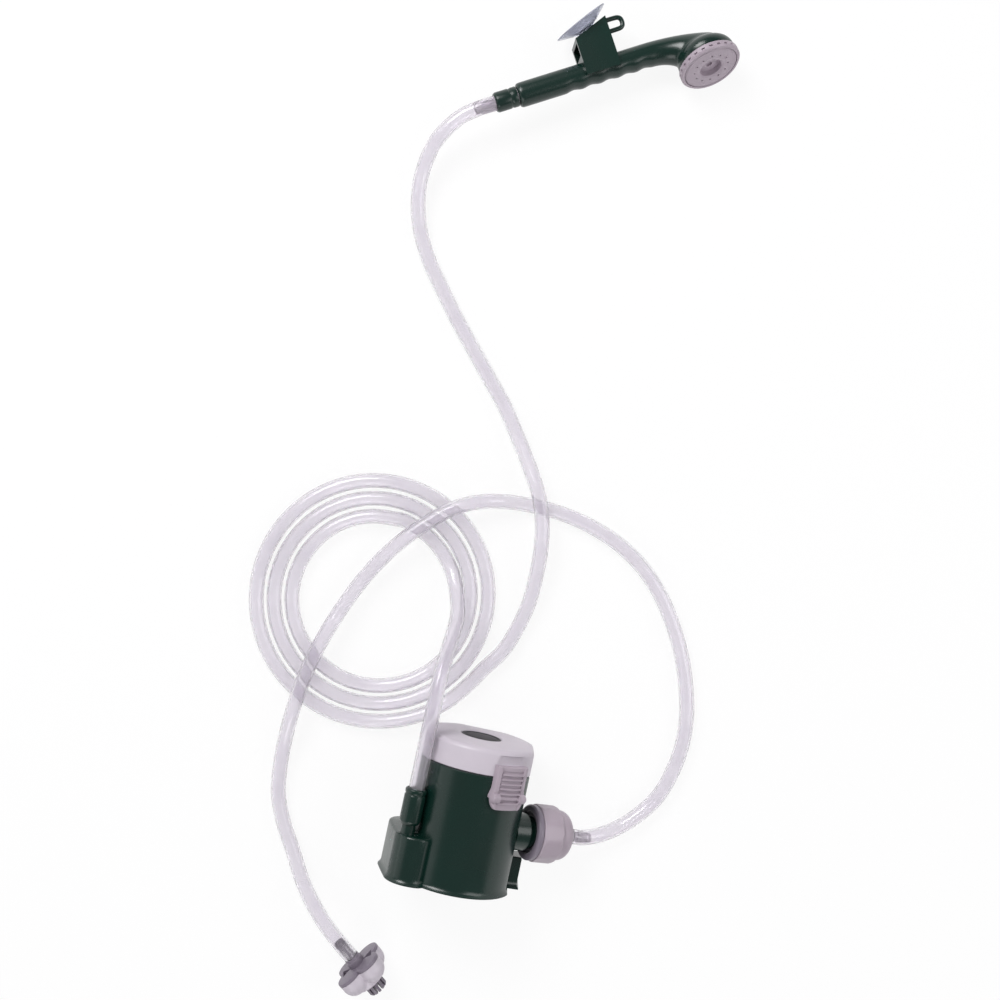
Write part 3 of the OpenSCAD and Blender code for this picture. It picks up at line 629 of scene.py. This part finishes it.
make_piece("handle_moulding", handle, at_handset, green_abs, "green_plastic", "handle")

# %% Spray ring and plate
at_head = at_handset @ head_turn
RING_R = 26.5
RING_NOTCHES = 24
NOTCH_DEPTH = 1.3
NOTCH_INSET = 0.45
NOTCH_LOW = 27.2
NOTCH_HIGH = 29.6
ring = spun([(21.2, 24.5), (25.6, 24.5), (RING_R, 25.3), (RING_R, NOTCH_LOW), (RING_R, NOTCH_HIGH),
             (25.4, 30.9), (23.5, 30.9), (23.5, 29.1), (21.2, 29.1)], edge=0, steps=2 * RING_NOTCHES)
walls = [f for f in ring.faces if f.calc_center_median().xy.length > RING_R - 0.2
         and NOTCH_LOW < f.calc_center_median().z < NOTCH_HIGH]
notches = sorted(walls, key=bearing)[::2]
bmesh.ops.inset_individual(ring, faces=notches, thickness=NOTCH_INSET)
for face in notches:
    middle = face.calc_center_median()
    press(ring, face, -Vector((middle.x, middle.y, 0)).normalized() * NOTCH_DEPTH)
make_piece("spray_ring_dial", ring, at_head, mauve_abs, "pale_plastic", "spray_ring")

PLATE_HOLES = 12
PLATE_TOP = 31.4
HOLE_STEPS = 6
HOLE_DEPTH = 1.6
HOLES_FROM = 14.3
HOLES_TO = 15.7
plate = spun([(0, 25.2), (2.6, 25.2), (2.6, 26.8), (9, 26.8), (9.6, 30.9), (10.1, 31.3),
              (HOLES_FROM, PLATE_TOP), (HOLES_TO, PLATE_TOP), (22, PLATE_TOP), (23, 30.6), (23, 29.2),
              (10.4, 29.2), (10.4, 24.6), (0, 24.6)], edge=0, steps=HOLE_STEPS * PLATE_HOLES, closed=False)
band = [f for f in plate.faces if HOLES_FROM < f.calc_center_median().xy.length < HOLES_TO
        and f.calc_center_median().z > PLATE_TOP - 0.4]
for face in sorted(band, key=bearing)[::HOLE_STEPS]:
    press(plate, face, (0, 0, -HOLE_DEPTH))
make_piece("spray_face", plate, at_head, mauve_abs, "pale_plastic", "spray_plate")

# %% [markdown]
# ## Pump casing
#
# Along the pump's axis the casing is a barrel with a flat back and a flat right side, a lobe on the left
# that carries the outlet, and a short foot on the right. All of it can be seen from the axis, so an outline
# is kept as one distance for each spoke, and rings of such outlines are stacked from mouth to foot and back
# up the inside. Where barrel and lobe meet, the larger distance is taken softly, which leaves a moulded
# valley. At the foot the rings flare out into a lip.

# %% Outlines round the pump's axis
BARREL_R = 48
SIDE_FLAT = 45.5
WALL = 2.6
LOBE_R = 17
LOBE_CORNERS = [(48, 140), (44, 178.7)]
LOBE_STEPS = 24
FOOT_X = 55
FOOT_LOW = -32
FOOT_HIGH = -8
VALLEY = 16
SPOKES = 360
angles = [2 * math.pi * i / SPOKES for i in range(SPOKES)]
spokes = [Vector((math.cos(a), math.sin(a))) for a in angles]


def lobe_reach(spoke, radius):
    """Distance along a spoke to the far side of a round bar that lies between the lobe's corners."""
    front, rear = [turn(a, "Z") @ Vector((r, 0, 0)) for r, a in LOBE_CORNERS]
    far = 0
    for i in range(LOBE_STEPS + 1):
        middle = front.lerp(rear, i / LOBE_STEPS).xy
        along = middle.dot(spoke)
        half = radius ** 2 - middle.length_squared + along ** 2
        if half > 0:
            far = max(far, along + math.sqrt(half))
    return far


def foot_reach(spoke, grow):
    slope = spoke.y * (FOOT_X + grow) / max(spoke.x, 0.001)
    return (FOOT_X + grow) / spoke.x if FOOT_LOW - grow < slope < FOOT_HIGH + grow else 0


def soft_max(a, b):
    overlap = max(VALLEY - abs(a - b), 0) / VALLEY
    return max(a, b) + overlap ** 2 * VALLEY / 4


def outline(grow=0, lobe=0, foot=None):
    edge = [min(BARREL_R + grow, (SIDE_FLAT + grow) / max(s.x, 0.01)) for s in spokes]
    if lobe:
        edge = [soft_max(e, lobe_reach(s, lobe + grow)) for e, s in zip(edge, spokes)]
    if foot is not None:
        edge = [max(e, foot_reach(s, foot + grow)) for e, s in zip(edge, spokes)]
    return [min(e, (AXIS_Z + min(grow, 0)) / max(-s.y, 0.01)) for e, s in zip(edge, spokes)]


def stacked(levels):
    """A closed skin through rings along the pump's axis; a level is its height and its outline."""
    bm = bmesh.new()
    rings = [[bm.verts.new((s.x * r, y, AXIS_Z + s.y * r)) for s, r in zip(spokes, edge)]
             for y, edge in levels]
    for ring, following in zip(rings, rings[1:] + rings[:1]):
        for i in range(SPOKES):
            bm.faces.new((ring[i - 1], ring[i], following[i], following[i - 1]))
    bmesh.ops.recalc_face_normals(bm, faces=bm.faces)
    return bm


def block(low, high):
    bm = bmesh.new()
    size = Vector(high) - Vector(low)
    place = Matrix.Translation((Vector(low) + Vector(high)) / 2) @ Matrix.Diagonal((*size, 1))
    bmesh.ops.create_cube(bm, size=1, matrix=place)
    return bm


def placed(bm, place):
    bmesh.ops.transform(bm, matrix=place, verts=bm.verts)
    return bm


# %% Casing
MOUTH_Y = 38
LOBE_TOP = -22
FOOT_TOP = -34.5
FOOT_Y = -61
CLIP_Y = 23
CLIP_TURN = 36
CLIP_PIN_R = 51.4
LUG_R = 3
LUG_W = 4.6
at_clip = Matrix.Translation((0, CLIP_Y, AXIS_Z)) @ turn(CLIP_TURN, "Y")
lobe_rim = [(LOBE_TOP + 2, 0), (LOBE_TOP + 0.6, 2), (LOBE_TOP + 0.1, 5), (LOBE_TOP, 14.4),
            (LOBE_TOP - 0.4, 15.9), (LOBE_TOP - 1.2, 16.8), (LOBE_TOP - 2.4, LOBE_R),
            (FOOT_TOP + 0.1, LOBE_R)]
foot_rim = [(FOOT_TOP, -1.2), (FOOT_TOP - 0.5, -0.3), (FOOT_TOP - 1.4, 0)]
lip = [(FOOT_Y + 6, 0), (FOOT_Y + 4, 0.2), (FOOT_Y + 2.6, 0.7), (FOOT_Y + 1.7, 1.4), (FOOT_Y + 1, 2),
       (FOOT_Y + 0.3, 2), (FOOT_Y, 1.7)]
casing = stacked(
    [(MOUTH_Y, outline(-WALL)), (MOUTH_Y, outline(-0.5)), (MOUTH_Y - 0.6, outline())]
    + [(y, outline(0, lobe)) for y, lobe in lobe_rim]
    + [(y, outline(0, LOBE_R, foot)) for y, foot in foot_rim]
    + [(y, outline(grow, LOBE_R, 0)) for y, grow in lip]
    + [(FOOT_Y, outline(-WALL, LOBE_R)), (LOBE_TOP - WALL, outline(-WALL, LOBE_R)),
       (LOBE_TOP - WALL, outline(-WALL))])
boss = spun([(13.2, -16), (15.6, -16), (15.6, -3.8), (14.8, -3), (13.2, -3)], edge=0)
lugs = []
for start in (-15, 10.4):
    end = start + LUG_W
    pin_eye = spun([(0, start), (LUG_R, start), (LUG_R, end), (0, end)], closed=False, steps=32)
    lugs.append(placed(pin_eye, at_clip @ Matrix.Translation((0, 0, CLIP_PIN_R)) @ turn(90, "Y")))
    lugs.append(placed(block((start, -LUG_R, 45), (end, LUG_R, CLIP_PIN_R)), at_clip))
make_piece("casing", joined([casing, placed(boss, at_inlet), *lugs]), Matrix.Identity(4), green_abs,
           "green_plastic", "pump_body")

# %% Lid
SEAM_Y = 39
LID_TOP = 61
LID_ROUND = 4.6
LID_STEPS = 8
LID_DROP = 0.7
WELL_R = 17.4
WELL_Y = 56
STEM_HOLE = 3.2
CEILING_Y = 53.5
SKIRT = -3
SKIRT_IN = -4.8
SKIRT_L = 6
THUMB_FLAT = 46.2
THUMB_FROM = 49
THUMB_TO = 56


def circle(radius):
    return [radius] * SPOKES


def thumbed(y, edge):
    """The lid's outline with the flat above the clip, where a thumb gets behind it."""
    if not THUMB_FROM <= y <= THUMB_TO:
        return edge
    clip_way = at_clip.to_3x3() @ Vector((0, 0, 1))
    ways = [s.x * clip_way.x + s.y * clip_way.z for s in spokes]
    return [min(e, THUMB_FLAT / max(w, 0.1)) for e, w in zip(edge, ways)]


lid_rim = outline(-LID_ROUND)
top = [(LID_TOP - LID_DROP * t * t, [a + (b - a) * t for a, b in zip(circle(WELL_R + 1.2), lid_rim)])
       for t in (0, 0.35, 0.7, 1)]
shoulder = []
for i in range(1, LID_STEPS + 1):
    tilt = math.radians(90 - 90 * i / LID_STEPS)
    y = LID_TOP - LID_DROP - LID_ROUND * (1 - math.sin(tilt))
    shoulder.append((y, thumbed(y, outline(-LID_ROUND * (1 - math.cos(tilt))))))
side = [(y, thumbed(y, outline())) for y in (52, THUMB_FROM, THUMB_FROM - 0.1)]
lid = stacked(
    [(WELL_Y, circle(STEM_HOLE)), (WELL_Y, circle(WELL_R)), (LID_TOP - 0.5, circle(WELL_R)),
     (LID_TOP - 0.1, circle(WELL_R + 0.4))]
    + top + shoulder + side
    + [(SEAM_Y + 0.4, outline()), (SEAM_Y, outline(-0.4)), (SEAM_Y, outline(SKIRT)),
       (SEAM_Y - SKIRT_L, outline(SKIRT)), (SEAM_Y - SKIRT_L, outline(SKIRT_IN)),
       (CEILING_Y, outline(SKIRT_IN)), (CEILING_Y, circle(STEM_HOLE))])
make_piece("lid_moulding", lid, Matrix.Identity(4), pale_abs, "pale_plastic", "lid")

# %% [markdown]
# ## Clip
#
# The clip is a curved plate with a raised frame and a row of grip ribs. Its lower end is rounded, and a boss
# on each side covers the casing's pin eyes. The plate is a grid of heights over its width and length, once
# for the face and once for the underside, and a wall joins the two along the rim.

# %% Clip
CLIP_LOW = -10
CLIP_HIGH = 26
CLIP_HALF = 15
CLIP_CORNER = 6
CLIP_UNDER = 48.5
TAIL_UNDER = 50.8
PANEL_R = 52.5
PIN_COVER = 1.8
RIB = 1.3
RIB_PITCH = 3.9
RIBS_FROM = -5
RIBS_TO = 22.3
PANEL_HALF = 10.6
BOSS_R = 4
BOSS_OUT = 1.5
BOSS_RUN = 8
LUG_ROOM_FROM = 10.1
LUG_ROOM_TO = 15.4
LUG_ROOM_HALF = 4.2
ACROSS = 100
ALONG = 108


def clip_half(v):
    bulge = BOSS_OUT * (0.5 + 0.5 * math.cos(math.pi * v / BOSS_RUN)) if abs(v) < BOSS_RUN else 0
    low = max(CLIP_LOW + CLIP_CORNER - v, 0)
    return CLIP_HALF + bulge - CLIP_CORNER + math.sqrt(CLIP_CORNER ** 2 - low * low)


def worn(gap, width=1.2):
    """How far a rounded edge falls back, by the distance from the rim."""
    near = max(width - gap, 0)
    return width - math.sqrt(width * width - near * near)


def hump(v, radius):
    """Height of a round bar along the pin."""
    return CLIP_PIN_R + math.sqrt(max(radius * radius - v * v, 0))


def bent(radius, x):
    return math.sqrt(radius * radius - x * x)


def clip_face(x, v):
    out = abs(x)
    radius = PANEL_R + RIB * min(max(out - PANEL_HALF, 0), 1)
    if out < PANEL_HALF and RIBS_FROM < v < RIBS_TO:
        radius += RIB * min(max(1.6 * math.sin(2 * math.pi * (v - RIBS_FROM) / RIB_PITCH), -0.4), 1)
    height = bent(radius, x)
    cover = BOSS_R if out > PANEL_HALF - 0.8 else PIN_COVER
    if abs(v) < cover:
        height = max(height, hump(v, cover))
    return height - worn(clip_half(v) - out) - worn(min(v - CLIP_LOW, CLIP_HIGH - v))


def clip_under(x, v):
    if LUG_ROOM_FROM < abs(x) < LUG_ROOM_TO and abs(v) < LUG_ROOM_HALF:
        return hump(v, LUG_R + 0.5)
    return bent(CLIP_UNDER if v > -1 else TAIL_UNDER, x)


clip = bmesh.new()
sheets = []
for height_of in (clip_face, clip_under):
    sheet = []
    for j in range(ALONG + 1):
        v = CLIP_LOW + (CLIP_HIGH - CLIP_LOW) * j / ALONG
        row = [clip_half(v) * (2 * i / ACROSS - 1) for i in range(ACROSS + 1)]
        sheet.append([clip.verts.new((x, v, height_of(x, v))) for x in row])
    for low, high in zip(sheet, sheet[1:]):
        for i in range(ACROSS):
            clip.faces.new((low[i], low[i + 1], high[i + 1], high[i]))
    rim = sheet[0] + [row[-1] for row in sheet[1:-1]] + sheet[-1][::-1] + [row[0] for row in sheet[-2:0:-1]]
    sheets.append(rim)
face_rim, under_rim = sheets
for i in range(len(face_rim)):
    clip.faces.new((face_rim[i - 1], face_rim[i], under_rim[i], under_rim[i - 1]))
make_piece("clip_lever", clip, at_clip, mauve_abs, "pale_plastic", "clip")

# %% [markdown]
# ## Strainer
#
# A ribbed tail holds it in the hose. Four round lobes are melted into one shell, the flange on them has the
# same four-leaved outline, and a slotted plug at the end keeps grit out. Two moulded pockets beside the tail
# go through the flange into the shell, which is why they look dark.

# %% Strainer
at_strainer = Matrix.Translation(STRAINER_AT) @ turn(STRAINER_TURN, "Z") @ turn(90 + STRAINER_PITCH, "Y")
HUB_R = 7.35
STRAINER_LOBE = 11
LOBE_OUT = 13.2
POCKET_DEPTH = 10
POCKET_R = 6
POCKET_OUT = 12.2


def leaf_reach(angle):
    """Distance to the edge of four round leaves that stand between the axes."""
    aside = angle % (math.pi / 2) - math.pi / 4
    return LOBE_OUT * math.cos(aside) + math.sqrt(STRAINER_LOBE ** 2 - (LOBE_OUT * math.sin(aside)) ** 2)


def pockets():
    cutters = []
    for side in (-90, 90):
        cutter = bmesh.new()
        place = turn(side, "Z") @ Matrix.Translation((POCKET_OUT, 0, 0)) @ turn(90, "Z")
        bmesh.ops.create_cone(cutter, segments=3, radius1=POCKET_R, radius2=POCKET_R, depth=2 * POCKET_DEPTH,
                              cap_ends=True, matrix=place)
        cutters.append(cutter)
    return cutters


leaves = [leaf_reach(a) for a in angles]
flange_rim = [(-3, -0.4), (-2.6, 0), (-0.8, 0), (-0.2, -0.3), (0, -0.9)]
inside = circle(HUB_R - 0.4)
flange = stacked([(z, [reach + grow for reach in leaves]) for z, grow in flange_rim]
                 + [(0, inside), (-3, inside)])
placed(flange, turn(90, "X") @ Matrix.Translation((0, 0, -AXIS_Z)))
tail = spun([(BARB_BORE, -3), (HUB_R, -3), (HUB_R, 5), (6.6, 5.4), (6.6, 7.9),
             *barb_profile(STRAINER_HUB, 4, BARB_TOOTH, BARB_ROOT), (BARB_BORE, 25.8)], edge=0.15, steps=96)
# The flange is the shell's pale plastic, put in the darker grey ABS as painted shade for its shaded side.
make_piece("strainer_tail", joined([carved(flange, pockets()), tail]), at_strainer @ turn(180, "X"), grey_abs_and_painted_shade,
           "grey_plastic", "strainer_barb")
SHELL_Z = 3.05
lobes = [spun([(0, SHELL_Z), (14, SHELL_Z), (14, 20), (0, 20)], edge=0, closed=False)]
for i in range(4):
    out = turn(45 + 90 * i, "Z") @ Matrix.Translation((LOBE_OUT, 0, 0))
    post = spun([(0, -2), (STRAINER_LOBE, -2), (STRAINER_LOBE, 8), (0, 8)], edge=0, closed=False)
    lobes += [placed(post, out), ball(out @ Matrix.Translation((0, 0, 8.05)), STRAINER_LOBE)]
shell = melted(lobes, 0.7, 4)
cut_flat(shell, (0, 0, SHELL_Z), (0, 0, -1))
make_piece("strainer_shell", carved(shell, pockets()), at_strainer, pale_abs, "pale_plastic", "strainer_body")
GRID_R = 8.5
SLOTS = 6
SLOT_HALF = 0.9
plug = spun([(0, 16), (GRID_R, 16), (GRID_R, 28.4), (7.6, 29.8), (0, 30)], edge=0.3, closed=False)
slots = [placed(block((-10, -SLOT_HALF, 22), (10, SLOT_HALF, 31)), turn(180 / SLOTS * i, "Z"))
         for i in range(SLOTS)]
make_piece("strainer_plug", carved(plug, slots), at_strainer, grey_abs_and_painted_shade, "grey_plastic", "strainer_grid")

# %% Hanging loop and suction cup
LOOP_WIRE = 2
loop = [(107.5, 29.2), (120, 29.2), (123.6, 29.8), (125.4, 31.9), (125.4, 36.3), (123.6, 38.4), (120, 39),
        (107.5, 39)]
loop_line = [place / MM for place in smooth_line([Vector((u, y, 0)) for u, y in loop])]
make_piece("wall_loop", rod(loop_line, LOOP_WIRE), at_handset, green_abs, "green_plastic", "hang_loop")
CUP_AT = (95, 33.5, 0)
CUP_TURN = 20.14
CUP_LEAN = 9
at_cup = at_handset @ Matrix.Translation(CUP_AT) @ turn(CUP_TURN, "Z") @ turn(CUP_LEAN - 90, "X")
cup = spun([(3.06, 0.1), (6.4, 0.1), (7, 0.7), (7, 2.6), (8, 3.3), (12, 4.7), (15, 6), (18, 7.4), (21.5, 9),
            (24.5, 10.4), (24.5, 11.2), (21.5, 10.4), (18, 9.3), (15, 8.4), (11, 6.9), (7, 5.4), (0, 4.6),
            (0, 3.1), (3.06, 3.1)], edge=0.15)
make_piece("cup_bowl", cup, at_cup, cup_vinyl, "clear_vinyl", "suction_cup")

# %% [markdown]
# ## Pieces inside the pump, and plain fittings
#
# Cells, contacts, motor, impeller and screws are simple turned or pressed pieces, and their solids already
# have the right shape. They only need a finish, so each material is laid over its own list of solids. The
# solids that were dressed above get one too.

# %% Finishes for the solids
FINISHES = [
    (green_abs, ["pump_body", "outlet_spigot", "outlet_nut", "inlet_neck", "handset_nut", "handle", "holder",
                 "hang_loop", "base_plate", "bulkhead", "motor_clamp"]),
    (pale_abs, ["lid", "clip", "inlet_nut", "spray_ring", "spray_plate", "strainer_body", "impeller",
                "inlet_barb", "handset_barb"]),
    (grey_abs_and_painted_shade, ["inlet_collar", "strainer_barb", "strainer_grid", "volute", "suction_pipe"]),
    (black_rubber, ["switch_boot", "switch_body", "lid_gasket", "shaft_seal", "inlet_washer", "head_seal"]),
    (steel, ["base_screws", "motor_shaft", "motor_can", "lower_contacts", "contact_springs", "upper_contacts",
             "clip_pin", "cup_stud"]),
    (cell_jacket, ["battery_cells"]),
    (cup_vinyl, ["suction_cup"]),
]
for material, names in FINISHES:
    for name in names:
        mesh = frame["nodes"][name].data
        mesh.materials.clear()
        mesh.materials.append(material)
print("solids with a finish:", sum(len(names) for _, names in FINISHES))

# %% [markdown]

# %% [markdown]
# ## Studio
#
# A pale floor, drawn up at its far rim as a backdrop, and soft light from all round, as in a product
# photograph. To the camera, in reflections and through the clear hose the floor is nearly white by itself,
# so the lamps can stay at a plain level. The world above is dim, which keeps dark plastic dark where it
# faces up.

# %% Floor and light
FLOOR_R = 40
FLOOR_SIDES = 64
FLOOR_BELOW = 0.5
BACKDROP_H = 14
FLOOR_GLOW = 0.9
WORLD_LIGHT = 0.22
floor_material, tree, output = new_material("white_floor")
rays = add_node(tree, "ShaderNodeLightPath")
indirect = add_node(tree, "ShaderNodeMath", {"operation": "MAXIMUM"})
tree.links.new(rays.outputs["Is Glossy Ray"], indirect.inputs[0])
tree.links.new(rays.outputs["Is Transmission Ray"], indirect.inputs[1])
shown = add_node(tree, "ShaderNodeMath", {"operation": "MAXIMUM"})
tree.links.new(rays.outputs["Is Camera Ray"], shown.inputs[0])
tree.links.new(indirect.outputs["Value"], shown.inputs[1])
share = add_node(tree, "ShaderNodeMath", {"operation": "MULTIPLY"})
share.inputs[1].default_value = FLOOR_GLOW
tree.links.new(shown.outputs["Value"], share.inputs[0])
matt = add_node(tree, "ShaderNodeBsdfDiffuse", {"Color": linear("#f6f5f6")})
glow = add_node(tree, "ShaderNodeEmission", {"Color": linear("#ffffff"), "Strength": 1})
blend = add_node(tree, "ShaderNodeMixShader", {}, {"Fac": share.outputs["Value"]})
tree.links.new(matt.outputs["BSDF"], blend.inputs[1])
tree.links.new(glow.outputs["Emission"], blend.inputs[2])
tree.links.new(blend.outputs["Shader"], output.inputs["Surface"])

bm = bmesh.new()
bmesh.ops.create_circle(bm, cap_ends=True, segments=FLOOR_SIDES, radius=FLOOR_R)
raised = bmesh.ops.extrude_edge_only(bm, edges=bm.edges[:])["geom"]
bmesh.ops.translate(bm, verts=verts_in(raised), vec=(0, 0, BACKDROP_H))
mesh = bpy.data.meshes.new("floor")
bm.to_mesh(mesh)
bm.free()
mesh.materials.append(floor_material)
floor = bpy.data.objects.new("floor", mesh)
floor.location.z = cad_box[0].z - FLOOR_BELOW * MM
bpy.context.scene.collection.objects.link(floor)

world = bpy.data.worlds.new("studio")
world.use_nodes = True
sky = world.node_tree.nodes["Background"]
sky.inputs["Color"].default_value = linear("#fbfaff")
sky.inputs["Strength"].default_value = WORLD_LIGHT
bpy.context.scene.world = world


def softbox(name, place, size, watts, aim):
    data = bpy.data.lights.new(name, "AREA")
    data.size = size
    data.energy = watts
    lamp = bpy.data.objects.new(name, data)
    lamp.location = place
    lamp.rotation_euler = (Vector(aim) - Vector(place)).to_track_quat("-Z", "Y").to_euler()
    bpy.context.scene.collection.objects.link(lamp)


softbox("key", (-0.9, 1.2, 1.4), 0.9, 28, (0, 0.2, 0))
softbox("fill", (1.2, 0.5, 1.1), 1.0, 9, (0, 0.2, 0))
softbox("front", (0.1, -1.1, 0.9), 0.8, 6, (0, 0, 0))
softbox("left", (-1.3, -0.3, 0.8), 1.0, 2.2, (0, 0, 0))
bpy.context.scene.view_settings.view_transform = "Standard"
